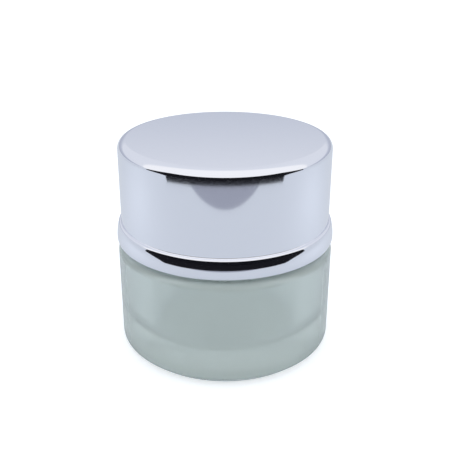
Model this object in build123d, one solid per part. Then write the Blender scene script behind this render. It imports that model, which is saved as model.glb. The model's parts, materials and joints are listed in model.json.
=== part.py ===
from build123d import *
import os
from math import atan2, cos, degrees, pi, radians, sin, sqrt

# A 30 g cosmetic cream jar: a thick pressed-glass jar with a screw neck, an inner sealing disc with a
# pull tab, and a tall screw lid made of a drawn aluminium shell over a white threaded moulding.
# Millimetres. The origin is the centre of the ring that the jar stands on, and +Z is up.

# ---- Driving dimensions -----------------------------------------------------------------------

# Whole object
overall_height = 51.4           # with the lid screwed down
body_diameter = 51.7            # outside of the glass; the neck and the lid follow it

# Glass jar
body_height = 26.2              # to the flat of the shoulder
shoulder_radius = 1.9
heel_width = 2.4                # radial width of the sloping heel
heel_height = 2.1
heel_blend = 1.6                # rounding at both ends of the heel's slope
stand_ring_width = 2.6          # flat ring that the jar stands on
punt_depth = 1.3                # hollow under the base
punt_blend = 1.5
base_thickness = 4.4            # glass between the punt and the cavity floor
cavity_corner = 5.0
cavity_draft = 0.4              # how much narrower the cavity is at its floor than at the mouth, on diameter
shoulder_width = 4.35           # from the side of the body to the root of the thread
neck_wall = 2.6                 # from the root of the thread to the mouth
neck_height = 10.4              # from the shoulder flat to the rim
neck_root_blend = 0.6
rim_outer_round = 0.6
rim_inner_round = 0.5

# Screw thread: right hand, one start, rounded ridges
thread_pitch = 4.0
jar_thread_height = 1.0         # ridge height above the neck
jar_thread_bead = 1.35          # radius of the rounded ridge
jar_thread_turns = 1.3
jar_thread_lead_out = 0.1       # plain neck between the ridge's upper end and the rim's rounding
jar_thread_angle = 20.0         # where the ridge's lower end lies round the neck
cap_thread_bead = 1.0
cap_thread_turns = 1.25
cap_thread_lift = 1.6           # from the moulding's foot to the centre of the ridge's lower end
thread_root_clearance = 0.3     # between the glass ridge's crest and the moulding's bore
thread_crest_clearance = 0.35   # between the moulded ridge's crest and the glass neck
thread_flank_clearance = 0.05   # between the two ridges where they pull the lid down

# Aluminium shell
skirt_gap = 0.8                 # between the jar's shoulder and the lid's lower edge
shell_thickness = 0.35
lid_edge_radius = 2.0           # round between the side and the top face
swell_depth = 1.12              # how far the swell stands out from the side
swell_mid_height = 1.1          # from the skirt's edge to its widest point
swell_height = 5.08             # from the skirt's edge to where the swell leaves the wall
crease_radius = 0.25            # inside corner where the swell leaves the wall, measured outside
shoulder_inner_radius = 0.1     # the sheet's inner bend radius at the swell's shoulder
foot_inner_radius = 0.55        # the sheet's inner bend radius at the skirt's edge
shoulder_slope = 85.0           # steepest part of the swell's shoulder, degrees from upright
lip_width = 0.9                 # lip turned in under the moulding

# Threaded moulding inside the shell
shell_clearance = 0.05
sleeve_wall = 1.68              # from the bore to the outside of the threaded sleeve
crush_rib_width = 0.9
crush_rib_count = 24
crush_rib_margin = 1.2          # plain wall left above and below each crush rib
crush_rib_root = 0.5            # depth of each rib's root inside the moulding's wall
deck_thickness = 1.4
cup_rim_width = 0.3             # flat at the top of the cup's wall, inside the lid's rounded edge
web_count = 4
web_thickness = 1.0
liner_bead_height = 0.35        # ring that keeps the liner up under the deck
liner_bead_radius = 0.5
bore_lead_in = 0.5

# Foam liner
liner_thickness = 1.2
liner_side_clearance = 0.2
seat_gap = 0.03                 # between faces that meet when the lid is closed

# Sealing disc
disc_overhang = 2.3             # how far the disc's rim lies over the glass rim
disc_thickness = 0.9
disc_edge_round = 0.3
plug_clearance = 0.06
plug_depth = 2.7
plug_wall = 0.9
plug_lead_in = 0.4
pan_depth = 1.75                # from the disc's top to the floor of its pan
pan_thickness = 0.8
pan_corner = 0.4

# Pull tab
tab_width = 12.0
tab_length = 13.0
tab_corner = 3.0
tab_thickness = 0.8
tab_below_top = 0.3             # tab's top face below the disc's top
tab_hinge_radius = 0.45
tab_hinge_clearance = 0.05
tab_edge_round = 0.2
grip_rib_count = 3
grip_rib_height = 0.2
grip_rib_width = 0.7
grip_rib_pitch = 1.6
grip_rib_length = 6.5
grip_rib_inset = 1.8            # from the tab's free end to the first rib
land_depth = 1.2                # plastic behind the hinge groove
land_front = 0.4                # plastic in front of the hinge groove
land_below_tab = 0.25           # land's top face below the tab's, behind the hinge
land_undercut = 0.15            # gap under the tab in front of the groove

# Not sizes of the object
cut_overrun = 1.0               # how far a cutting shape runs past the surface it opens
mm3_per_ml = 1000

# ---- Worked-out sizes -------------------------------------------------------------------------

body_r = body_diameter / 2
neck_r = body_r - shoulder_width
mouth_r = neck_r - neck_wall
cavity_r = mouth_r - cavity_draft / 2
rim_z = body_height + neck_height
cavity_floor = punt_depth + base_thickness
jar_thread_path_r = neck_r + jar_thread_height - jar_thread_bead
jar_thread_end = rim_z - rim_outer_round - jar_thread_lead_out - jar_thread_bead
jar_thread_start = jar_thread_end - jar_thread_turns * thread_pitch

bore_r = neck_r + jar_thread_height + thread_root_clearance
shell_bore = bore_r + sleeve_wall + shell_clearance
wall_r = shell_bore + shell_thickness
skirt_r = wall_r + swell_depth
lid_skirt_base = body_height + skirt_gap
shoulder_bend = shoulder_inner_radius + shell_thickness
foot_bend = foot_inner_radius + shell_thickness
swell_mid_z = lid_skirt_base + swell_mid_height
crease_z = lid_skirt_base + swell_height

disc_top = rim_z + seat_gap + disc_thickness
disc_r = mouth_r + disc_overhang
plug_r = mouth_r - plug_clearance
plug_foot = disc_top - disc_thickness - plug_depth
pan_r = plug_r - plug_wall
pan_floor = disc_top - pan_depth
liner_base = disc_top + seat_gap
liner_top = liner_base + liner_thickness
deck_base = liner_top + seat_gap
deck_top = deck_base + deck_thickness

moulding_inset = shell_thickness + shell_clearance
moulding_foot = lid_skirt_base + moulding_inset
moulding_top = overall_height - moulding_inset
cup_r = wall_r - lid_edge_radius - cup_rim_width
cap_thread_path_r = neck_r + thread_crest_clearance + cap_thread_bead
thread_gap = jar_thread_bead + cap_thread_bead + thread_flank_clearance
thread_step = sqrt(thread_gap**2 - (cap_thread_path_r - jar_thread_path_r) ** 2)
cap_thread_start = moulding_foot + cap_thread_lift
cap_thread_angle = jar_thread_angle + (cap_thread_start + thread_step - jar_thread_start) / thread_pitch * 360

hinge_y = tab_length / 2
hinge_z = disc_top - tab_below_top - tab_thickness / 2
groove_r = tab_hinge_radius + tab_hinge_clearance

INWARD, OUTWARD = -1, 1         # the side of a thread ridge that its root is on


def polar(centre, radius, angle):
    """The point at a radius and an angle in degrees from a centre."""
    return (centre[0] + radius * cos(radians(angle)), centre[1] + radius * sin(radians(angle)))


def turned(edges):
    """The solid that a closed outline of (radius, height) makes about the jar's axis."""
    return revolve(Plane.XZ * make_face(Curve() + edges), Axis.Z)


def rounded_outline(points):
    """Edges of a closed outline of (radius, height, rounding) corners."""
    corners = [(r, z) for r, z, _ in points]
    face = make_face(Polyline(*corners, close=True))
    for r, z, rounding in points:
        if rounding:
            corner = face.vertices().sort_by_distance((r, z, 0))[0]
            face = fillet(corner, rounding)
    return face.edges()


def ridge(path_radius, bead, turns, start_z, start_angle, root):
    """A rounded thread ridge: a rod that climbs round the axis, with ball ends. Its seam is on the root side."""
    path = Rot(0, 0, start_angle) * Pos(0, 0, start_z) * Helix(
        pitch=thread_pitch, height=thread_pitch * turns, radius=path_radius
    )
    lower = path @ 0
    upper = path @ 1
    lower_root = Vector(lower.X, lower.Y, 0) * root
    upper_root = Vector(upper.X, upper.Y, 0) * root
    rod = sweep(Plane(lower, lower_root, path % 0) * Circle(bead), path=path, is_frenet=True)
    ball_end = Sphere(bead)
    return rod + Plane(upper, upper_root, path % 1) * ball_end + Plane(lower, lower_root, path % 0) * ball_end


# ---- Glass jar --------------------------------------------------------------------------------


def glass_jar():
    """The pressed glass jar, with its neck, thread and punt, as one solid."""
    ring_outer = body_r - heel_width
    ring_inner = ring_outer - stand_ring_width
    outside = rounded_outline([
        (0, punt_depth, 0),
        (ring_inner - punt_depth, punt_depth, punt_blend),
        (ring_inner, 0, 0),
        (ring_outer, 0, heel_blend),
        (body_r, heel_height, heel_blend),
        (body_r, body_height, shoulder_radius),
        (neck_r, body_height, neck_root_blend),
        (neck_r, rim_z, rim_outer_round),
        (0, rim_z, 0),
    ])
    cavity = rounded_outline([
        (0, cavity_floor, 0),
        (cavity_r, cavity_floor, cavity_corner),
        (mouth_r, rim_z, 0),
        (mouth_r, rim_z + cut_overrun, 0),
        (0, rim_z + cut_overrun, 0),
    ])
    jar = turned(outside) - turned(cavity)
    mouth_edge = jar.edges().filter_by(GeomType.CIRCLE).sort_by(
        lambda e: abs(e.radius - mouth_r) + abs(e.arc_center.Z - rim_z)
    )[0]
    jar = fillet(mouth_edge, rim_inner_round)
    return jar + ridge(
        jar_thread_path_r, jar_thread_bead, jar_thread_turns, jar_thread_start, jar_thread_angle, INWARD
    )


# ---- Lid --------------------------------------------------------------------------------------


def skin(inset):
    """Edges of the lid's outline, drawn a distance inside the aluminium's outer face, closed at the axis."""
    crease = (wall_r + crease_radius, crease_z)
    bend = polar(crease, crease_radius + shoulder_bend, 180 + shoulder_slope)
    swell_out = skirt_r - bend[0]
    swell_up = bend[1] - swell_mid_z
    swell_r = (swell_out**2 + swell_up**2 - shoulder_bend**2) / (2 * (swell_out - shoulder_bend))
    swell = (skirt_r - swell_r, swell_mid_z)
    edge_z = lid_skirt_base + foot_bend
    reach = swell_r - foot_bend
    edge = (swell[0] + sqrt(reach**2 - (edge_z - swell_mid_z) ** 2), edge_z)
    top = (wall_r - lid_edge_radius, overall_height - lid_edge_radius)
    up_angle = degrees(atan2(bend[1] - swell[1], bend[0] - swell[0]))
    down_angle = degrees(atan2(edge[1] - swell[1], edge[0] - swell[0]))
    bend_r = shoulder_bend - inset
    side_r = wall_r - inset
    foot_z = lid_skirt_base + inset
    top_z = overall_height - inset
    return [
        Line((0, foot_z), (edge[0], foot_z)),
        CenterArc(edge, foot_bend - inset, -90, 90 + down_angle),
        CenterArc(swell, swell_r - inset, down_angle, up_angle - down_angle),
        CenterArc(bend, bend_r, up_angle, shoulder_slope - up_angle),
        CenterArc(crease, crease_radius + inset, 180 + shoulder_slope, -shoulder_slope),
        Line((side_r, crease[1]), (side_r, top[1])),
        CenterArc(top, lid_edge_radius - inset, 0, 90),
        Line((top[0], top_z), (0, top_z)),
        Line((0, top_z), (0, foot_z)),
    ]


def cap_shell():
    """The drawn aluminium shell, with its swelled skirt and the lip turned in under the moulding."""
    lip_r = skirt_r - foot_bend - lip_width
    lip_bore = Pos(0, 0, lid_skirt_base) * Cylinder(lip_r, 2 * (shell_thickness + cut_overrun))
    return turned(skin(0)) - turned(skin(shell_thickness)) - lip_bore


def crush_ribs():
    """Upright ribs on the moulding that reach the shell's bore and hold the two together."""
    low = crease_z + crush_rib_margin
    high = overall_height - lid_edge_radius - crush_rib_margin
    root = wall_r - moulding_inset - crush_rib_root
    rib = Box(shell_bore - root, crush_rib_width, high - low, align=(Align.MIN, Align.CENTER, Align.MIN))
    ribs = PolarLocations(root, crush_rib_count) * rib
    ring = Cylinder(shell_bore, high - low, align=(Align.CENTER, Align.CENTER, Align.MIN))
    return (Pos(0, 0, low) * Compound(ribs)) & (Pos(0, 0, low) * ring)


def inner_cap():
    """The white moulding: threaded sleeve, deck over the liner, and a webbed cup up to the shell's top."""
    bore = rounded_outline([
        (0, moulding_foot - cut_overrun, 0),
        (bore_r + bore_lead_in + cut_overrun, moulding_foot - cut_overrun, 0),
        (bore_r, moulding_foot + bore_lead_in, 0),
        (bore_r, deck_base, 0),
        (0, deck_base, 0),
    ])
    on_deck = (Align.CENTER, Align.CENTER, Align.MIN)
    pockets = Pos(0, 0, deck_top) * Cylinder(cup_r, moulding_top - deck_top + cut_overrun, align=on_deck)
    web = Box(2 * cup_r, web_thickness, moulding_top + 2 * cut_overrun, align=on_deck)
    for k in range(web_count // 2):
        pockets -= Rot(0, 0, 360 * k / web_count) * web
    cap = turned(skin(moulding_inset)) - turned(bore) - pockets + crush_ribs()
    bead_z = liner_base - seat_gap - liner_bead_radius
    bead = Pos(0, 0, bead_z) * Torus(bore_r - liner_bead_height + liner_bead_radius, liner_bead_radius)
    cap += bead
    return cap + ridge(
        cap_thread_path_r, cap_thread_bead, cap_thread_turns, cap_thread_start, cap_thread_angle, OUTWARD
    )


def liner_wad():
    """The foam disc that seals on the disc and the glass rim."""
    radius = bore_r - liner_side_clearance
    return Pos(0, 0, liner_base) * Cylinder(
        radius, liner_thickness, align=(Align.CENTER, Align.CENTER, Align.MIN)
    )


# ---- Sealing disc and its tab -----------------------------------------------------------------


def seal_disc():
    """The disc that plugs the mouth, with a sunk pan and the land that the tab hinges on."""
    disc = turned(rounded_outline([
        (0, pan_floor - pan_thickness, 0),
        (pan_r, pan_floor - pan_thickness, 0),
        (pan_r, plug_foot, 0),
        (plug_r - plug_lead_in, plug_foot, 0),
        (plug_r, plug_foot + plug_lead_in, 0),
        (plug_r, disc_top - disc_thickness, 0),
        (disc_r, disc_top - disc_thickness, disc_edge_round),
        (disc_r, disc_top, disc_edge_round),
        (pan_r, disc_top, disc_edge_round),
        (pan_r, pan_floor, pan_corner),
        (0, pan_floor, 0),
    ]))
    land_width = tab_width - 2 * tab_edge_round
    rear_top = hinge_z + tab_thickness / 2 - land_below_tab
    front_top = hinge_z - tab_thickness / 2 - land_undercut
    sunk = pan_thickness / 2
    rear = Pos(0, hinge_y, pan_floor - sunk) * Box(
        land_width, groove_r + land_depth, rear_top - pan_floor + sunk,
        align=(Align.CENTER, Align.MIN, Align.MIN),
    )
    front = Pos(0, hinge_y, pan_floor - sunk) * Box(
        land_width, groove_r + land_front, front_top - pan_floor + sunk,
        align=(Align.CENTER, Align.MAX, Align.MIN),
    )
    groove = Pos(0, hinge_y, hinge_z) * Rot(0, 90, 0) * Cylinder(groove_r, tab_width + 2 * cut_overrun)
    return disc + (rear + front - groove)


def pull_tab():
    """The flap that a finger lifts, with a round root on the hinge line and ribs at its free end."""
    outline = Rectangle(tab_width, tab_length)
    free_corners = outline.vertices().group_by(Axis.Y)[0]
    outline = fillet(free_corners, tab_corner)
    plate = extrude(outline, tab_thickness / 2, both=True)
    plate = Pos(0, 0, hinge_z) * plate
    faces = plate.faces().filter_by(Axis.Z)
    rims = [e for e in faces.edges() if e.center().Y < hinge_y - tab_edge_round]
    plate = fillet(rims, tab_edge_round)
    root = Pos(0, hinge_y, hinge_z) * Rot(0, 90, 0) * Cylinder(tab_hinge_radius, tab_width)
    tab = plate + root
    for k in range(grip_rib_count):
        rib_y = -hinge_y + grip_rib_inset + k * grip_rib_pitch
        rib = Pos(0, rib_y, hinge_z + tab_thickness / 2) * SlotOverall(grip_rib_length, grip_rib_width)
        tab += extrude(rib, grip_rib_height, dir=(0, 0, 1)) + extrude(rib, tab_thickness / 2, dir=(0, 0, -1))
    return tab


os.makedirs("parts", exist_ok=True)
pieces = {
    "glass_jar": glass_jar(),
    "seal_disc": seal_disc(),
    "pull_tab": pull_tab(),
    "liner_wad": liner_wad(),
    "inner_cap": inner_cap(),
    "cap_shell": cap_shell(),
}
for node, piece in pieces.items():
    export_step(piece, f"parts/{node}.step")

print(f"capacity to the brim, ml: {pi * mouth_r**2 * (rim_z - cavity_floor) / mm3_per_ml:.1f}")
print(f"jar inside: floor {cavity_floor:.2f}, plug foot {plug_foot:.2f}, radius {cavity_r:.2f}")
print(f"lid hollow: {deck_top:.2f} to {moulding_top:.2f}, radius {cup_r:.2f}")
print(f"hinge line: y {hinge_y:.2f}, z {hinge_z:.2f}")
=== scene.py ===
"""Looks of a 30 g cosmetic cream jar: frosted glass body, sealing disc and a bright aluminium lid.

Sizes inside the classes are millimetres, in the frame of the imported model: the origin is the centre of
the ring that the jar stands on, and +Z is up. Each mesh is scaled to metres once, when it is finished.
"""

import json
import logging
import math
from dataclasses import dataclass, field
from enum import Enum
from typing import Callable

import bmesh
import bpy
from mathutils import Matrix, Vector


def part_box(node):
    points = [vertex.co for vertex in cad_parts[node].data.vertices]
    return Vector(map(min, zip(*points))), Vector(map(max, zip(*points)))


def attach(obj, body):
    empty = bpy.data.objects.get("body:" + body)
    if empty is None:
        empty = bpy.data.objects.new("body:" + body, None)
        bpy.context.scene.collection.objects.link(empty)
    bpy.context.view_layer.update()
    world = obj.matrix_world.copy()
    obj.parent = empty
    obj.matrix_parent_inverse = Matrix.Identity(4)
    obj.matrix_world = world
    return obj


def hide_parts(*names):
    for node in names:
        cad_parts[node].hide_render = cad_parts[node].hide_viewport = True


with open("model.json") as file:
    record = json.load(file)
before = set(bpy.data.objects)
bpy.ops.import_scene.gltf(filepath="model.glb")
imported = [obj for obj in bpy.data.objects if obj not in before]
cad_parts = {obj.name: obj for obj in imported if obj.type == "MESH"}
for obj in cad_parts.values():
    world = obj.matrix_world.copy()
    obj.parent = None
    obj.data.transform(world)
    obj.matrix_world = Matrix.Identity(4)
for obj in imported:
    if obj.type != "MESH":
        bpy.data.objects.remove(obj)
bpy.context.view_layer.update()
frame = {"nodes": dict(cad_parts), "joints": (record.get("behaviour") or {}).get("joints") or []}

MM = 0.001
TURN_STEPS = 256          # facets round the large turned pieces
SHARP_DEG = 40.0          # edges turned by more than this are shaded sharp
CLOSE = 0.01              # mm within which two places count as the same
LOG = logging.getLogger("cream_jar")

Point = tuple[float, float]
Socket = bpy.types.NodeSocket


# ---- Outlines and meshes ----------------------------------------------------------------------


def arc(centre: Point, radius: float, start: float, end: float, steps: int) -> list[Point]:
    """Points along an arc of an outline.

    Args:
        centre: The arc's centre as (radius from the axis, height), in mm.
        radius: The arc's radius in mm.
        start: Angle of the first point in degrees, from outwards and towards up.
        end: Angle of the last point in degrees.
        steps: Number of straight stretches.

    Returns:
        The points, first and last included.
    """
    angles = [math.radians(start + (end - start) * k / steps) for k in range(steps + 1)]
    return [(centre[0] + radius * math.cos(a), centre[1] + radius * math.sin(a)) for a in angles]


def corner(before: Point, at: Point, after: Point, radius: float, steps: int) -> list[Point]:
    """Points that round a corner between two straight stretches of an outline.

    Args:
        before: The outline's previous corner.
        at: The corner to round.
        after: The outline's next corner.
        radius: The rounding's radius in mm.
        steps: Number of straight stretches along the rounding.

    Returns:
        The rounding's points in the outline's order.
    """
    here = Vector(at)
    towards = (Vector(before) - here).normalized()
    onwards = (Vector(after) - here).normalized()
    half = towards.angle(onwards) / 2
    centre = here + (towards + onwards).normalized() * radius / math.sin(half)
    first = here + towards * radius / math.tan(half) - centre
    last = here + onwards * radius / math.tan(half) - centre
    sweep = first.angle_signed(last)
    points = []
    for k in range(steps + 1):
        turned = first.copy()
        turned.rotate(Matrix.Rotation(-sweep * k / steps, 2))
        points.append(tuple(centre + turned))
    return points


def rounded(corners: list[tuple[float, float, float]], steps: int = 8) -> list[Point]:
    """An open outline with its inner corners rounded.

    Args:
        corners: The corners as (radius from the axis, height, rounding), in mm.
        steps: Number of straight stretches along each rounding.

    Returns:
        The outline's points.
    """
    points: list[Point] = []
    for k, (r, z, rounding) in enumerate(corners):
        if rounding and 0 < k < len(corners) - 1:
            points += corner(corners[k - 1][:2], (r, z), corners[k + 1][:2], rounding, steps)
        else:
            points.append((r, z))
    return points


def supported(points: list[Point], reach: float = 0.08) -> list[Point]:
    """Adds points close to both ends of each long straight stretch, so that smooth shading stays flat there.

    Args:
        points: The outline.
        reach: How far from the ends the added points lie, in mm.

    Returns:
        The outline with the added points.
    """
    result = [points[0]]
    for a, b in zip(points, points[1:]):
        start, end = Vector(a), Vector(b)
        length = (end - start).length
        if length > 5 * reach:
            step = (end - start) * (reach / length)
            result += [tuple(start + step), tuple(end - step)]
        result.append(b)
    return result


def turned(points: list[Point], steps: int = TURN_STEPS) -> bmesh.types.BMesh:
    """Spins an outline about the jar's axis.

    Args:
        points: The outline as (radius from the axis, height), in mm.
        steps: Number of facets round the axis.

    Returns:
        The mesh, in mm, with its poles closed and its faces outwards where it is closed.
    """
    bm = bmesh.new()
    verts = [bm.verts.new((r, 0.0, z)) for r, z in points]
    edges = [bm.edges.new(pair) for pair in zip(verts, verts[1:])]
    bmesh.ops.spin(
        bm, geom=verts + edges, cent=(0, 0, 0), axis=(0, 0, 1), dvec=(0, 0, 0),
        angle=math.tau, steps=steps, use_merge=True, use_duplicate=False,
    )
    bmesh.ops.remove_doubles(bm, verts=bm.verts, dist=0.0005)
    bmesh.ops.recalc_face_normals(bm, faces=bm.faces)
    return bm


def boxed(low: Vector, high: Vector) -> bmesh.types.BMesh:
    """A block between two corners, in mm."""
    bm = bmesh.new()
    bmesh.ops.create_cube(bm, size=1.0)
    bmesh.ops.scale(bm, vec=high - low, verts=bm.verts)
    bmesh.ops.translate(bm, vec=(low + high) / 2, verts=bm.verts)
    return bm


def rod(radius: float, length: float, steps: int) -> bmesh.types.BMesh:
    """A rod along X about the origin, in mm."""
    bm = bmesh.new()
    bmesh.ops.create_cone(
        bm, cap_ends=True, segments=steps, radius1=radius, radius2=radius, depth=length
    )
    bmesh.ops.rotate(bm, verts=bm.verts, cent=(0, 0, 0), matrix=Matrix.Rotation(math.pi / 2, 3, "Y"))
    return bm


def eased(bm: bmesh.types.BMesh, edges: list[bmesh.types.BMEdge], radius: float, segments: int) -> None:
    """Rounds some edges of a mesh to a radius in mm."""
    bmesh.ops.bevel(
        bm, geom=edges, offset=radius, segments=segments, profile=0.5, affect="EDGES", material=-1
    )


def finished(name: str, bm: bmesh.types.BMesh, sharp: float = SHARP_DEG) -> bpy.types.Object:
    """Turns a mesh in mm into a smooth-shaded piece in metres, with its object at the origin.

    Args:
        name: The piece's name.
        bm: The mesh, which is freed.
        sharp: The angle in degrees past which an edge is shaded sharp.

    Returns:
        The new object.
    """
    bmesh.ops.scale(bm, vec=(MM, MM, MM), verts=bm.verts)
    mesh = bpy.data.meshes.new(name)
    bm.to_mesh(mesh)
    bm.free()
    mesh.shade_smooth()
    mesh.set_sharp_from_angle(angle=math.radians(sharp))
    piece = bpy.data.objects.new(name, mesh)
    bpy.context.scene.collection.objects.link(piece)
    return piece


def combined(piece: bpy.types.Object, tools: list[bpy.types.Object], how: str) -> None:
    """Joins tools to a piece, or cuts it with them, and removes the tools.

    Args:
        piece: The piece to change.
        tools: Closed meshes.
        how: UNION or DIFFERENCE.
    """
    for tool in tools:
        boolean = piece.modifiers.new("combine", "BOOLEAN")
        boolean.operation = how
        boolean.solver = "EXACT"
        boolean.object = tool
    graph = bpy.context.evaluated_depsgraph_get()
    mesh = bpy.data.meshes.new_from_object(piece.evaluated_get(graph))
    piece.modifiers.clear()
    mesh.name = piece.name
    piece.data = mesh
    for tool in tools:
        bpy.data.objects.remove(tool)
    mesh.shade_smooth()
    mesh.set_sharp_from_angle(angle=math.radians(SHARP_DEG))


# ---- Materials --------------------------------------------------------------------------------


def linear(colour: str) -> tuple[float, float, float, float]:
    """An sRGB hex colour, such as #C8D0D6, as linear red, green, blue and alpha."""
    parts = [int(colour[k:k + 2], 16) / 255 for k in (1, 3, 5)]
    values = [p / 12.92 if p <= 0.04045 else ((p + 0.055) / 1.055) ** 2.4 for p in parts]
    return (*values, 1.0)


def add(
    material: bpy.types.Material, kind: str, inputs: dict | None = None, **settings: object
) -> bpy.types.Node:
    """Adds a node with its settings, values and links.

    Args:
        material: The material, or world, whose tree gets the node.
        kind: The node's type name without the ShaderNode prefix.
        inputs: Input name or number to a value, or to the output socket that it is linked from.
        settings: Properties of the node itself.

    Returns:
        The new node.
    """
    tree = material.node_tree
    made = tree.nodes.new("ShaderNode" + kind)
    for key, value in settings.items():
        setattr(made, key, value)
    for key, value in (inputs or {}).items():
        if isinstance(value, bpy.types.NodeSocket):
            tree.links.new(value, made.inputs[key])
        else:
            made.inputs[key].default_value = value
    return made


def empty_material(name: str) -> bpy.types.Material:
    """A new material with an empty node tree."""
    material = bpy.data.materials.new(name)
    material.use_nodes = True
    material.node_tree.nodes.clear()
    return material


def bumped(material: bpy.types.Material, height: Socket, depth_mm: float) -> Socket:
    """A bump whose full height is a real depth.

    Args:
        material: The material.
        height: Socket that gives the pattern, 0 to 1.
        depth_mm: The pattern's depth in mm.

    Returns:
        The normal to link.
    """
    bump = add(material, "Bump", {"Height": height, "Strength": 1.0, "Distance": depth_mm * MM})
    return bump.outputs["Normal"]


def per_metre(size_mm: float) -> float:
    """A texture's scale for a pattern of a real size in mm, on Object coordinates in metres."""
    return 1.0 / (size_mm * MM)


@dataclass(frozen=True)
class BrightAluminium:
    """Drawn aluminium sheet, chemically brightened and clear anodised.

    It mirrors like chrome, with a whiter, slightly cool tone. The drawing leaves a faint long ripple in
    the reflections, and the anodic film softens them a little.
    """

    tone: str = "#EEF0F8"
    roughness: float = 0.04
    ripple_mm: float = 7.0
    ripple_depth_mm: float = 0.0012
    grain_mm: float = 0.35
    grain_roughness: float = 0.025

    def material(self) -> bpy.types.Material:
        """Builds the material."""
        made = empty_material("bright_anodised_aluminium")
        place = add(made, "TexCoord").outputs["Object"]
        ripple = add(made, "TexNoise", {"Vector": place, "Scale": per_metre(self.ripple_mm), "Detail": 1.0})
        normal = bumped(made, ripple.outputs["Fac"], self.ripple_depth_mm)
        grain = add(made, "TexNoise", {"Vector": place, "Scale": per_metre(self.grain_mm), "Detail": 3.0})
        rough = add(made, "MapRange", {
            "Value": grain.outputs["Fac"], "From Min": 0.3, "From Max": 0.7,
            "To Min": self.roughness, "To Max": self.roughness + self.grain_roughness,
        })
        shader = add(made, "BsdfPrincipled", {
            "Base Color": linear(self.tone), "Metallic": 1.0,
            "Roughness": rough.outputs["Result"], "Normal": normal,
        })
        add(made, "OutputMaterial", {"Surface": shader.outputs["BSDF"]})
        return made


@dataclass(frozen=True)
class JarGlass:
    """Pressed soda-lime glass, acid-frosted to a silky white haze outside; the neck and inside stay clear.

    A slight iron content gives thick glass its grey-green tint.
    """

    tint: str = "#BFDAD4"
    density: float = 2.5
    haze_tone: str = "#EAF5F2"
    haze: float = 0.34
    frost_roughness: float = 0.2
    clear_roughness: float = 0.03
    etch_mm: float = 0.3
    etch_depth_mm: float = 0.004

    def surface(self, made: bpy.types.Material, roughness: float, haze: float, normal: Socket | None) -> None:
        """Adds the glass shader and its tinted volume to a material.

        Args:
            made: The material.
            roughness: The surface's roughness.
            haze: Share of the light that the surface scatters back as a milky white.
            normal: Normal of the surface's fine shape, or None.
        """
        inputs: dict = {
            "Base Color": linear(self.haze_tone if haze else "#FFFFFF"), "Roughness": roughness, "IOR": 1.52,
            "Transmission Weight": 1.0 - haze,
        }
        if normal:
            inputs["Normal"] = normal
        shader = add(made, "BsdfPrincipled", inputs, distribution="MULTI_GGX")
        volume = add(made, "VolumeAbsorption", {"Color": linear(self.tint), "Density": self.density})
        add(made, "OutputMaterial", {"Surface": shader.outputs["BSDF"], "Volume": volume.outputs["Volume"]})

    def frosted(self) -> bpy.types.Material:
        """The etched outside. The etch's grain is far finer; it is drawn this coarse so that it shows."""
        made = empty_material("acid_frosted_glass")
        place = add(made, "TexCoord").outputs["Object"]
        etch = add(made, "TexNoise", {"Vector": place, "Scale": per_metre(self.etch_mm), "Detail": 4.0})
        normal = bumped(made, etch.outputs["Fac"], self.etch_depth_mm)
        self.surface(made, self.frost_roughness, self.haze, normal)
        return made

    def clear(self) -> bpy.types.Material:
        """The fire-polished neck and inside."""
        made = empty_material("fire_polished_glass")
        self.surface(made, self.clear_roughness, 0.0, None)
        return made


@dataclass(frozen=True)
class MouldedPlastic:
    """Injection-moulded polyolefin: milky, slightly waxy, with a fine spark-eroded texture from the mould."""

    name: str
    tone: str
    roughness: float
    texture_mm: float = 0.25
    texture_depth_mm: float = 0.004
    flow_mm: float = 9.0
    flow_roughness: float = 0.05

    def material(self) -> bpy.types.Material:
        """Builds the material."""
        made = empty_material(self.name)
        place = add(made, "TexCoord").outputs["Object"]
        spark = add(made, "TexNoise", {"Vector": place, "Scale": per_metre(self.texture_mm), "Detail": 3.0})
        flow = add(made, "TexNoise", {"Vector": place, "Scale": per_metre(self.flow_mm), "Detail": 2.0})
        rough = add(made, "MapRange", {
            "Value": flow.outputs["Fac"], "From Min": 0.3, "From Max": 0.7,
            "To Min": self.roughness - self.flow_roughness, "To Max": self.roughness + self.flow_roughness,
        })
        shader = add(made, "BsdfPrincipled", {
            "Base Color": linear(self.tone), "Roughness": rough.outputs["Result"], "IOR": 1.5,
            "Subsurface Weight": 0.25, "Subsurface Radius": (1.0, 0.9, 0.8), "Subsurface Scale": 0.0012,
            "Normal": bumped(made, spark.outputs["Fac"], self.texture_depth_mm),
        })
        add(made, "OutputMaterial", {"Surface": shader.outputs["BSDF"]})
        return made


@dataclass(frozen=True)
class PolyethyleneFoam:
    """Expanded polyethylene wad: closed cells a few tenths of a millimetre across, matt, slightly crushed."""

    tone: str = "#F1F1EC"
    cell_mm: float = 0.45
    cell_depth_mm: float = 0.05

    def material(self) -> bpy.types.Material:
        """Builds the material."""
        made = empty_material("expanded_polyethylene_foam")
        place = add(made, "TexCoord").outputs["Object"]
        cells = add(made, "TexVoronoi", {"Vector": place, "Scale": per_metre(self.cell_mm)})
        shader = add(made, "BsdfPrincipled", {
            "Base Color": linear(self.tone), "Roughness": 0.75, "IOR": 1.5,
            "Subsurface Weight": 0.3, "Subsurface Radius": (1.0, 1.0, 0.9), "Subsurface Scale": 0.001,
            "Normal": bumped(made, cells.outputs["Distance"], self.cell_depth_mm),
        })
        add(made, "OutputMaterial", {"Surface": shader.outputs["BSDF"]})
        return made


# ---- Thread -----------------------------------------------------------------------------------


class Side(Enum):
    """The way a thread ridge stands out of its wall."""

    OUT = 1
    IN = -1


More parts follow.
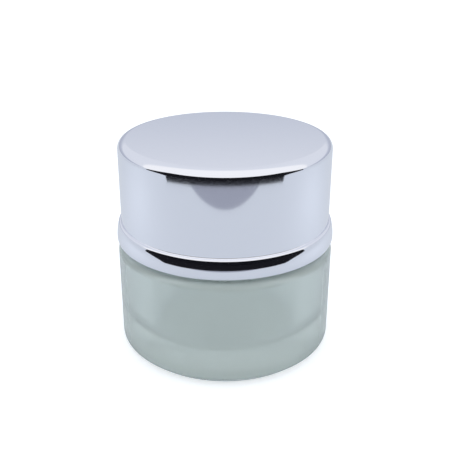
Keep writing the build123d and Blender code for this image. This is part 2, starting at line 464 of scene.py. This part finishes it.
@dataclass
class ThreadRidge:
    """A rounded ridge that climbs round the axis, with ball ends.

    Attributes:
        path_r: Radius of the helix that the ridge's centre follows.
        bead: Radius of the ridge's section.
        start: Height of the centre of its lower end.
        angle: Direction of its lower end in degrees.
        turns: Length in turns.
        side: Whether it stands outwards or inwards.
        pitch: Rise for each turn.
    """

    path_r: float
    bead: float
    start: float
    angle: float
    turns: float
    side: Side
    pitch: float = 4.0
    root_blend: float = 0.15

    def raise_on(self, bm: bmesh.types.BMesh, wall_r: float) -> None:
        """Moves the vertices of a finely divided wall out to the ridge's surface."""
        for vert in bm.verts:
            if abs(math.hypot(vert.co.x, vert.co.y) - wall_r) < CLOSE:
                r = wall_r + self.side.value * self.height(vert.co, wall_r)
                vert.co = Vector((vert.co.x / wall_r * r, vert.co.y / wall_r * r, vert.co.z))

    def height(self, at: Vector, wall_r: float) -> float:
        """How far the ridge stands out of the wall at a point."""
        length = math.tau * self.turns
        first = (math.atan2(at.y, at.x) - math.radians(self.angle)) % math.tau
        best = 0.0
        for k in range(-1, math.ceil(self.turns) + 1):
            here = first + math.tau * k
            nearest = min(max(here, 0.0), length)
            along = (here - nearest) * self.path_r
            across = at.z - self.start - self.pitch * nearest / math.tau
            best = max(best, self.bead**2 - along**2 - across**2)
        rise = self.side.value * (self.path_r - wall_r) + math.sqrt(best)
        return (rise + math.sqrt(rise**2 + self.root_blend**2)) / 2


# ---- Glass jar --------------------------------------------------------------------------------


@dataclass
class GlassJar:
    """The pressed glass jar. Lengths are in mm."""

    glass: JarGlass = JarGlass()
    shoulder_z: float = 26.2
    shoulder_round: float = 1.9
    heel_width: float = 2.4
    heel_height: float = 2.1
    heel_blend: float = 1.6
    ring_width: float = 2.6
    punt_depth: float = 1.3
    punt_blend: float = 1.5
    base: float = 4.4
    cavity_round: float = 5.0
    cavity_draft: float = 0.2
    shoulder_width: float = 4.35
    neck_wall: float = 2.6
    neck_blend: float = 0.6
    rim_outer: float = 0.6
    rim_inner: float = 0.5
    ring_round: float = 0.25
    thread_bead: float = 1.35
    thread_height: float = 1.0
    thread_turns: float = 1.3
    thread_angle: float = 20.0
    thread_lead_out: float = 0.1
    thread_row: float = 0.13
    frost_above_shoulder: float = 0.4
    inside_margin: float = 0.1

    def __post_init__(self) -> None:
        """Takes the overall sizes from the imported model."""
        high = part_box("glass_jar")[1]
        self.body_r = high[0] / MM
        self.rim_z = high[2] / MM
        self.neck_r = self.body_r - self.shoulder_width
        self.mouth_r = self.neck_r - self.neck_wall

    def outside(self) -> list[Point]:
        """The outline from the middle of the base, round the body and up the neck to the rim."""
        ring_out = self.body_r - self.heel_width
        ring_in = ring_out - self.ring_width
        body = rounded([
            (0, self.punt_depth, 0),
            (ring_in - self.punt_depth, self.punt_depth, self.punt_blend),
            (ring_in, 0, self.ring_round),
            (ring_out, 0, self.heel_blend),
            (self.body_r, self.heel_height, self.heel_blend),
            (self.body_r, self.shoulder_z, self.shoulder_round),
            (self.neck_r, self.shoulder_z, self.neck_blend),
            (self.neck_r, self.rim_z, 0),
        ], 12)[:-1]
        top = self.rim_z - self.rim_outer
        rows = math.ceil((top - body[-1][1]) / self.thread_row)
        neck = [(self.neck_r, body[-1][1] + (top - body[-1][1]) * k / rows) for k in range(1, rows)]
        return supported(body) + neck

    def inside(self) -> list[Point]:
        """The outline over the rim and down to the middle of the cavity's floor."""
        floor = self.punt_depth + self.base
        return supported(rounded([
            (self.neck_r, self.rim_z - 2 * self.rim_outer, 0),
            (self.neck_r, self.rim_z, self.rim_outer),
            (self.mouth_r, self.rim_z, self.rim_inner),
            (self.mouth_r - self.cavity_draft, floor, self.cavity_round),
            (0, floor, 0),
        ], 12)[1:])

    def build(self) -> bpy.types.Object:
        """Builds the jar with its frosted outside and clear neck and inside."""
        bm = turned(self.outside() + self.inside())
        thread_end = self.rim_z - self.rim_outer - self.thread_lead_out - self.thread_bead
        ridge = ThreadRidge(
            path_r=self.neck_r + self.thread_height - self.thread_bead, bead=self.thread_bead,
            start=thread_end - self.thread_turns * ThreadRidge.pitch,
            angle=self.thread_angle, turns=self.thread_turns, side=Side.OUT,
        )
        ridge.raise_on(bm, self.neck_r)
        edge_of_frost = self.shoulder_z + self.frost_above_shoulder
        middle_of_base = self.punt_depth + self.base / 2
        for face in bm.faces:
            centre = face.calc_center_median()
            r = math.hypot(centre.x, centre.y)
            inside = r < self.mouth_r + self.inside_margin and centre.z > middle_of_base
            face.material_index = 1 if inside or centre.z > edge_of_frost else 0
        jar = finished("frosted_glass_jar", bm)
        jar.data.materials.append(self.glass.frosted())
        jar.data.materials.append(self.glass.clear())
        jar.visible_shadow = False  # stands in for the light that real glass passes on
        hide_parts("glass_jar")
        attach(jar, "jar")
        return jar


# ---- Lid --------------------------------------------------------------------------------------


@dataclass
class Lid:
    """The drawn aluminium shell and the threaded moulding inside it. Lengths are in mm."""

    finish: BrightAluminium = BrightAluminium()
    moulding: MouldedPlastic = MouldedPlastic("moulded_polypropylene", "#F2F2EF", 0.32)
    sheet: float = 0.35
    edge_round: float = 2.0
    swell_depth: float = 1.12
    swell_mid: float = 1.1
    swell_height: float = 5.08
    crease: float = 0.25
    shoulder_inside: float = 0.1
    foot_inside: float = 0.55
    shoulder_slope: float = 85.0
    lip: float = 0.9
    sharp_deg: float = 50.0

    def __post_init__(self) -> None:
        """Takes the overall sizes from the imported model."""
        low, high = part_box("cap_shell")
        self.skirt_r = high[0] / MM
        self.foot_z = low[2] / MM
        self.top_z = high[2] / MM
        self.wall_r = self.skirt_r - self.swell_depth

    def skin(self) -> list[Point]:
        """The outline from the middle of the top, down the side, round the swell and in under the lip."""
        bend_r = self.shoulder_inside + self.sheet
        foot_r = self.foot_inside + self.sheet
        crease = Vector((self.wall_r + self.crease, self.foot_z + self.swell_height))
        slope = math.radians(180 + self.shoulder_slope)
        bend = crease + Vector((math.cos(slope), math.sin(slope))) * (self.crease + bend_r)
        mid_z = self.foot_z + self.swell_mid
        out, up = self.skirt_r - bend.x, bend.y - mid_z
        swell_r = (out**2 + up**2 - bend_r**2) / (2 * (out - bend_r))
        swell = Vector((self.skirt_r - swell_r, mid_z))
        edge_z = self.foot_z + foot_r
        edge = Vector((swell.x + math.sqrt((swell_r - foot_r) ** 2 - (edge_z - mid_z) ** 2), edge_z))
        rise = math.degrees(math.atan2(bend.y - swell.y, bend.x - swell.x))
        fall = math.degrees(math.atan2(edge.y - swell.y, edge.x - swell.x))
        top = (self.wall_r - self.edge_round, self.top_z - self.edge_round)
        return supported(
            [(0, self.top_z)]
            + arc(top, self.edge_round, 90, 0, 28)
            + arc(tuple(crease), self.crease, 180, 180 + self.shoulder_slope, 10)
            + arc(tuple(bend), bend_r, self.shoulder_slope, rise, 10)[1:]
            + arc(tuple(swell), swell_r, rise, fall, 28)[1:]
            + arc(tuple(edge), foot_r, fall, -90, 14)[1:]
            + [(self.skirt_r - foot_r - self.lip, self.foot_z)]
        )

    def build_shell(self) -> bpy.types.Object:
        """Builds the aluminium shell."""
        bm = turned(self.skin())
        bmesh.ops.recalc_face_normals(bm, faces=bm.faces)
        top = max(bm.faces, key=lambda f: f.calc_center_median().z)
        if top.normal.z < 0:
            bmesh.ops.reverse_faces(bm, faces=bm.faces)
        bmesh.ops.solidify(bm, geom=bm.faces, thickness=self.sheet)
        shell = finished("aluminium_lid_shell", bm, self.sharp_deg)
        shell.data.materials.append(self.finish.material())
        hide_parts("cap_shell")
        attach(shell, "lid")
        return shell

    def dress_moulding(self) -> None:
        """Gives the threaded moulding its plastic."""
        node = frame["nodes"]["inner_cap"]
        node.data.materials.clear()
        node.data.materials.append(self.moulding.material())


# ---- Liner, disc and tab ----------------------------------------------------------------------


@dataclass
class FoamLiner:
    """The foam wad under the lid's deck. Lengths are in mm."""

    foam: PolyethyleneFoam = PolyethyleneFoam()
    edge: float = 0.25
    steps: int = 128

    def build(self) -> bpy.types.Object:
        """Builds the wad."""
        low, high = (Vector(c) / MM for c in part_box("liner_wad"))
        bm = turned(supported(rounded([
            (0, low.z, 0), (high.x, low.z, self.edge), (high.x, high.z, self.edge), (0, high.z, 0),
        ], 6)), self.steps)
        wad = finished("foam_liner", bm)
        wad.data.materials.append(self.foam.material())
        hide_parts("liner_wad")
        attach(wad, "liner")
        return wad


@dataclass
class SealingDisc:
    """The plug disc that closes the mouth, and the tab that lifts it. Lengths are in mm."""

    plastic: MouldedPlastic = MouldedPlastic("moulded_polyethylene", "#F4F4F2", 0.42)
    rim_wall: float = 2.3
    plug_clearance: float = 0.06
    plate: float = 0.9
    plug_wall: float = 0.9
    lead_in: float = 0.4
    edge: float = 0.3
    pan_depth: float = 1.75
    pan_plate: float = 0.8
    pan_corner: float = 0.4
    tab_root: float = 0.45
    groove_clearance: float = 0.05
    land_depth: float = 1.2
    land_front: float = 0.4
    land_below_tab: float = 0.25
    land_undercut: float = 0.15
    tab_half: float = 0.4
    tab_corner: float = 3.0
    tab_edge: float = 0.2
    ribs: int = 3
    rib_width: float = 0.7
    rib_length: float = 6.5
    rib_pitch: float = 1.6
    rib_inset: float = 1.8
    rib_side_round: float = 0.45    # share of the rib's width
    rib_top_round: float = 0.08
    plate_round: float = 0.2
    plug_round: float = 0.15
    lead_round: float = 0.3
    land_round: float = 0.12
    steps: int = 192
    root_steps: int = 48

    def __post_init__(self) -> None:
        """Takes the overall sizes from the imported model."""
        self.low, self.high = (Vector(c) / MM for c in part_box("seal_disc"))
        self.tab_low, self.tab_high = (Vector(c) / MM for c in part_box("pull_tab"))
        self.hinge_y = self.tab_high.y - self.tab_root
        hinge = next(j for j in frame["joints"] if j["name"] == "tab_fold")
        self.hinge_z = hinge["pos_m"][2] / MM
        self.pan_floor = self.high.z - self.pan_depth

    def build_disc(self) -> bpy.types.Object:
        """Builds the disc with its sunk pan and the land that holds the tab's root."""
        plug_r = self.high.x - self.rim_wall - self.plug_clearance
        pan_r = plug_r - self.plug_wall
        under = self.high.z - self.plate
        bm = turned(supported(rounded([
            (0, self.pan_floor - self.pan_plate, 0),
            (pan_r, self.pan_floor - self.pan_plate, self.plate_round),
            (pan_r, self.low.z, self.plug_round),
            (plug_r - self.lead_in, self.low.z, self.plug_round),
            (plug_r, self.low.z + self.lead_in, self.lead_round),
            (plug_r, under, self.plug_round),
            (self.high.x, under, self.edge),
            (self.high.x, self.high.z, self.edge),
            (pan_r, self.high.z, self.edge),
            (pan_r, self.pan_floor, self.pan_corner),
            (0, self.pan_floor, 0),
        ], 6)), self.steps)
        disc = finished("sealing_disc", bm)
        groove = self.tab_root + self.groove_clearance
        half = self.tab_high.x - self.tab_edge
        sunk = self.pan_floor - self.pan_plate / 2
        rear = boxed(
            Vector((-half, self.hinge_y - CLOSE, sunk)),
            Vector((half, self.hinge_y + groove + self.land_depth,
                    self.hinge_z + self.tab_half - self.land_below_tab)),
        )
        front = boxed(
            Vector((-half, self.hinge_y - groove - self.land_front, sunk)),
            Vector((half, self.hinge_y, self.hinge_z - self.tab_half - self.land_undercut)),
        )
        for block in (rear, front):
            upper = [e for e in block.edges if min(v.co.z for v in e.verts) > sunk + CLOSE]
            eased(block, upper, self.land_round, 3)
        lands = [finished("land_rear", rear), finished("land_front", front)]
        combined(disc, lands, "UNION")
        cut = rod(groove, 4 * half, self.root_steps)
        bmesh.ops.translate(cut, vec=(0, self.hinge_y, self.hinge_z), verts=cut.verts)
        combined(disc, [finished("groove_cutter", cut)], "DIFFERENCE")
        disc.data.materials.clear()
        disc.data.materials.append(self.plastic.material())
        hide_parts("seal_disc")
        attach(disc, "seal")
        return disc

    def build_tab(self) -> bpy.types.Object:
        """Builds the tab with its round root and its grip ribs."""
        half = self.tab_high.x
        tip = self.tab_low.y
        bm = boxed(Vector((-half, tip, -self.tab_half)), Vector((half, self.hinge_y, self.tab_half)))
        upright = [e for e in bm.edges if abs(e.verts[0].co.z - e.verts[1].co.z) > self.tab_half]
        free = [e for e in upright if e.verts[0].co.y < 0]
        eased(bm, free, self.tab_corner, 12)
        rims = [e for e in bm.edges if abs(e.verts[0].co.z - e.verts[1].co.z) < CLOSE
                and min(v.co.y for v in e.verts) < self.hinge_y - CLOSE]
        eased(bm, rims, self.tab_edge, 4)
        bmesh.ops.translate(bm, vec=(0, 0, self.hinge_z), verts=bm.verts)
        tab = finished("pull_tab_flap", bm)
        root = rod(self.tab_root, 2 * half, self.root_steps)
        bmesh.ops.translate(root, vec=(0, self.hinge_y, self.hinge_z), verts=root.verts)
        joined = [finished("tab_root", root)]
        for k in range(self.ribs):
            joined.append(self.grip_rib(tip + self.rib_inset + k * self.rib_pitch))
        combined(tab, joined, "UNION")
        tab.data.materials.clear()
        tab.data.materials.append(self.plastic.material())
        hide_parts("pull_tab")
        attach(tab, "tab")
        return tab

    def grip_rib(self, y: float) -> bpy.types.Object:
        """One raised rib across the tab's free end."""
        rib = boxed(
            Vector((-self.rib_length / 2, y - self.rib_width / 2, self.hinge_z)),
            Vector((self.rib_length / 2, y + self.rib_width / 2, self.tab_high.z)),
        )
        upright = [e for e in rib.edges if abs(e.verts[0].co.z - e.verts[1].co.z) > 0.1]
        eased(rib, upright, self.rib_width * self.rib_side_round, 6)
        top = [e for e in rib.edges if min(v.co.z for v in e.verts) > self.tab_high.z - CLOSE]
        eased(rib, top, self.rib_top_round, 3)
        return finished("grip_rib", rib)


# ---- Studio -----------------------------------------------------------------------------------


@dataclass
class Studio:
    """A pale floor, a soft white tent open to an unlit room in front, dark sheets that paint the shade of
    that room and of the table's front edge, and the camera. Lengths are in metres.
    """

    camera_distance: float = 0.16027
    camera_height: float = 0.0976
    camera_pitch: float = 23.15
    lens: float = 57.2
    sensor: float = 36.0
    floor_half: float = 3.0
    floor_glow: float = 0.5
    floor_tone: str = "#DDE2E8"
    # Painted shade: the dark tone of the unlit room in front, seen only in reflections and through the glass.
    room_shade_tone: str = "#1C1C20"
    # Painted shade: the grey of the table's shaded front edge, seen only in reflections and through the
    # glass.
    table_shade_tone: str = "#A9ACB8"
    room_lift: float = 0.0004       # keeps the dark ground clear of the floor
    table_lift: float = 0.0003
    room_steps: int = 56
    rim_steps: int = 8              # each side of the middle
    tent_radius: float = 0.1555
    tent_side_radius: float = 0.32
    room_reach: float = 1.6
    room_height_deg: float = 14.0
    room_full_deg: float = 58.0
    room_end_deg: float = 84.0
    table_edge: float = 0.131
    table_edge_half: float = 0.12
    lamp_at: tuple[float, float, float] = (0.125, 0.012, 0.07)
    lamp_size: float = 0.05
    lamp_power: float = 0.0095
    tent_tones: tuple[tuple[float, str], ...] = (
        (0.0, "#B4B8C6"), (11.5, "#BEC3D0"), (14.5, "#CBD0DB"), (19.3, "#E2E5EC"),
        (72.0, "#E6E9EF"), (86.0, "#FFFFFF"), (180.0, "#FFFFFF"),
    )
    stages: list[bpy.types.Object] = field(default_factory=list)

    def build(self) -> None:
        """Builds the floor, the painted-shade sheet of the dark opening, the lights and the camera."""
        self.floor()
        self.room_shade_sheet()
        self.table_shade_strip()
        self.world()
        self.side_lights()
        self.camera()
        scene = bpy.context.scene
        scene.view_settings.view_transform = "Standard"
        scene.view_settings.look = "None"
        scene.view_settings.exposure = 0.0
        scene.view_settings.gamma = 1.0

    def sheet(
        self, name: str, corners: list[tuple[float, float, float]], material: bpy.types.Material
    ) -> bpy.types.Object:
        """A flat card with one face through a few corners."""
        bm = bmesh.new()
        verts = [bm.verts.new(c) for c in corners]
        bm.faces.new(verts)
        mesh = bpy.data.meshes.new(name)
        bm.to_mesh(mesh)
        bm.free()
        card = bpy.data.objects.new(name, mesh)
        card.data.materials.append(material)
        bpy.context.scene.collection.objects.link(card)
        self.stages.append(card)
        return card

    def floor(self) -> None:
        """The pale floor. It glows a little to the camera, so that it blends with the white backdrop."""
        made = empty_material("pale_floor")
        to_camera = add(made, "LightPath").outputs["Is Camera Ray"]
        glow = add(made, "Math", {0: to_camera, 1: self.floor_glow}, operation="MULTIPLY")
        shader = add(made, "BsdfPrincipled", {
            "Base Color": linear(self.floor_tone), "Roughness": 0.9, "Specular IOR Level": 0.2,
            "Emission Color": linear("#FFFFFF"), "Emission Strength": glow.outputs["Value"],
        })
        add(made, "OutputMaterial", {"Surface": shader.outputs["BSDF"]})
        h = self.floor_half
        self.sheet("floor", [(-h, -h, 0), (h, -h, 0), (h, h, 0), (-h, h, 0)], made)

    def unseen(self, card: bpy.types.Object) -> None:
        """Keeps a card out of the picture while it still shows in gloss and glass."""
        card.visible_camera = False
        card.visible_diffuse = False

    def room_shade_sheet(self) -> None:
        """Painted shade for the unlit room in front of the tent: a dark ground sheet and a dark far wall,
        seen only in reflections and through the glass.
        """
        made = empty_material("unlit_room")
        shader = add(made, "BsdfDiffuse", {"Color": linear(self.room_shade_tone)})
        add(made, "OutputMaterial", {"Surface": shader.outputs["BSDF"]})
        steps, reach, lift = self.room_steps, self.room_reach, self.room_lift
        bm = bmesh.new()
        near, far, top = [], [], []
        for k in range(steps + 1):
            azimuth = self.room_end_deg * (2 * k / steps - 1)
            a = math.radians(azimuth)
            beyond = max(abs(azimuth) - self.room_full_deg, 0) / (self.room_end_deg - self.room_full_deg)
            height = reach * math.tan(math.radians(self.room_height_deg)) * (1 - beyond)
            opening = self.tent_radius + (self.tent_side_radius - self.tent_radius) * beyond
            near.append(bm.verts.new((math.sin(a) * opening, -math.cos(a) * opening, lift)))
            far.append(bm.verts.new((math.sin(a) * reach, -math.cos(a) * reach, lift)))
            top.append(bm.verts.new((math.sin(a) * reach, -math.cos(a) * reach, height)))
        for k in range(steps):
            bm.faces.new((near[k], near[k + 1], far[k + 1], far[k]))
            bm.faces.new((far[k], far[k + 1], top[k + 1], top[k]))
        mesh = bpy.data.meshes.new("room_shade_sheet")
        bm.to_mesh(mesh)
        bm.free()
        room = bpy.data.objects.new("room_shade_sheet", mesh)
        room.data.materials.append(made)
        bpy.context.scene.collection.objects.link(room)
        self.stages.append(room)
        self.unseen(room)

    def table_shade_strip(self) -> None:
        """Painted shade: a grey sheet for the shaded front edge of the table, seen only in reflections and
        through the glass.
        """
        made = empty_material("shaded_table_edge")
        shader = add(made, "BsdfDiffuse", {"Color": linear(self.table_shade_tone)})
        add(made, "OutputMaterial", {"Surface": shader.outputs["BSDF"]})
        near, z = self.table_edge, self.table_lift
        half = math.asin(self.table_edge_half / self.tent_radius)
        rim = [half * (k / self.rim_steps - 1) for k in range(2 * self.rim_steps + 1)]
        front = [(math.sin(a) * self.tent_radius, -math.cos(a) * self.tent_radius, z) for a in rim]
        front = [point for point in front if point[1] < -near]
        side = math.sqrt(self.tent_radius**2 - near**2)
        strip = self.sheet("table_shade_strip", [(side, -near, z), (-side, -near, z), *front], made)
        self.unseen(strip)

    def world(self) -> None:
        """The white tent: white to the camera, and for light and reflections brighter towards its top."""
        world = bpy.data.worlds.new("white_tent")
        bpy.context.scene.world = world
        world.use_nodes = True
        world.node_tree.nodes.clear()
        direction = add(world, "TexCoord").outputs["Generated"]
        axes = add(world, "SeparateXYZ", {"Vector": direction}).outputs
        turn = add(world, "Math", {0: axes["Z"], 1: axes["Y"]}, operation="ARCTAN2").outputs["Value"]
        share = add(world, "Math", {0: turn, 1: math.pi}, operation="DIVIDE").outputs["Value"]
        ramp = add(world, "ValToRGB", {"Fac": share})
        elements = ramp.color_ramp.elements
        first, *middle, last = self.tent_tones
        elements[0].position, elements[0].color = first[0] / 180, linear(first[1])
        elements[1].position, elements[1].color = last[0] / 180, linear(last[1])
        for degrees, colour in middle:
            element = elements.new(degrees / 180)
            element.color = linear(colour)
        lit = add(world, "Background", {"Color": ramp.outputs["Color"], "Strength": 1.0})
        white = add(world, "Background", {"Color": linear("#FFFFFF"), "Strength": 1.0})
        to_camera = add(world, "LightPath").outputs["Is Camera Ray"]
        mixed = add(world, "MixShader", {
            0: to_camera, 1: lit.outputs["Background"], 2: white.outputs["Background"],
        })
        add(world, "OutputWorld", {"Surface": mixed.outputs["Shader"]})

    def side_lights(self) -> None:
        """Two low soft lamps, one each side, that brighten the table beside the jar."""
        for side in (-1, 1):
            lamp = bpy.data.lights.new("side_lamp", "AREA")
            lamp.shape = "DISK"
            lamp.size = self.lamp_size
            lamp.energy = self.lamp_power
            holder = bpy.data.objects.new("side_lamp", lamp)
            holder.location = (side * self.lamp_at[0], self.lamp_at[1], self.lamp_at[2])
            holder.visible_camera = False
            holder.visible_glossy = False
            holder.visible_transmission = False
            bpy.context.scene.collection.objects.link(holder)

    def camera(self) -> None:
        """The camera, in front and above."""
        data = bpy.data.cameras.new("camera")
        data.lens = self.lens
        data.sensor_width = self.sensor
        data.clip_start = 0.005
        data.clip_end = 20.0
        camera = bpy.data.objects.new("camera", data)
        camera.location = (0.0, -self.camera_distance, self.camera_height)
        camera.rotation_euler = (math.radians(90 - self.camera_pitch), 0.0, 0.0)
        bpy.context.scene.collection.objects.link(camera)
        bpy.context.scene.camera = camera


# ---- Assembly ---------------------------------------------------------------------------------


def main() -> None:
    """Builds every piece and the studio in order."""
    logging.basicConfig(level=logging.INFO, format="%(name)s: %(message)s")
    Studio().build()
    lid = Lid()
    disc = SealingDisc()
    makers: list[Callable[[], bpy.types.Object]] = [
        GlassJar().build, disc.build_disc, disc.build_tab, FoamLiner().build, lid.build_shell,
    ]
    for make in makers:
        piece = make()
        LOG.info("%s: %d faces", piece.name, len(piece.data.polygons))
    lid.dress_moulding()


if __name__ == "__main__":
    main()
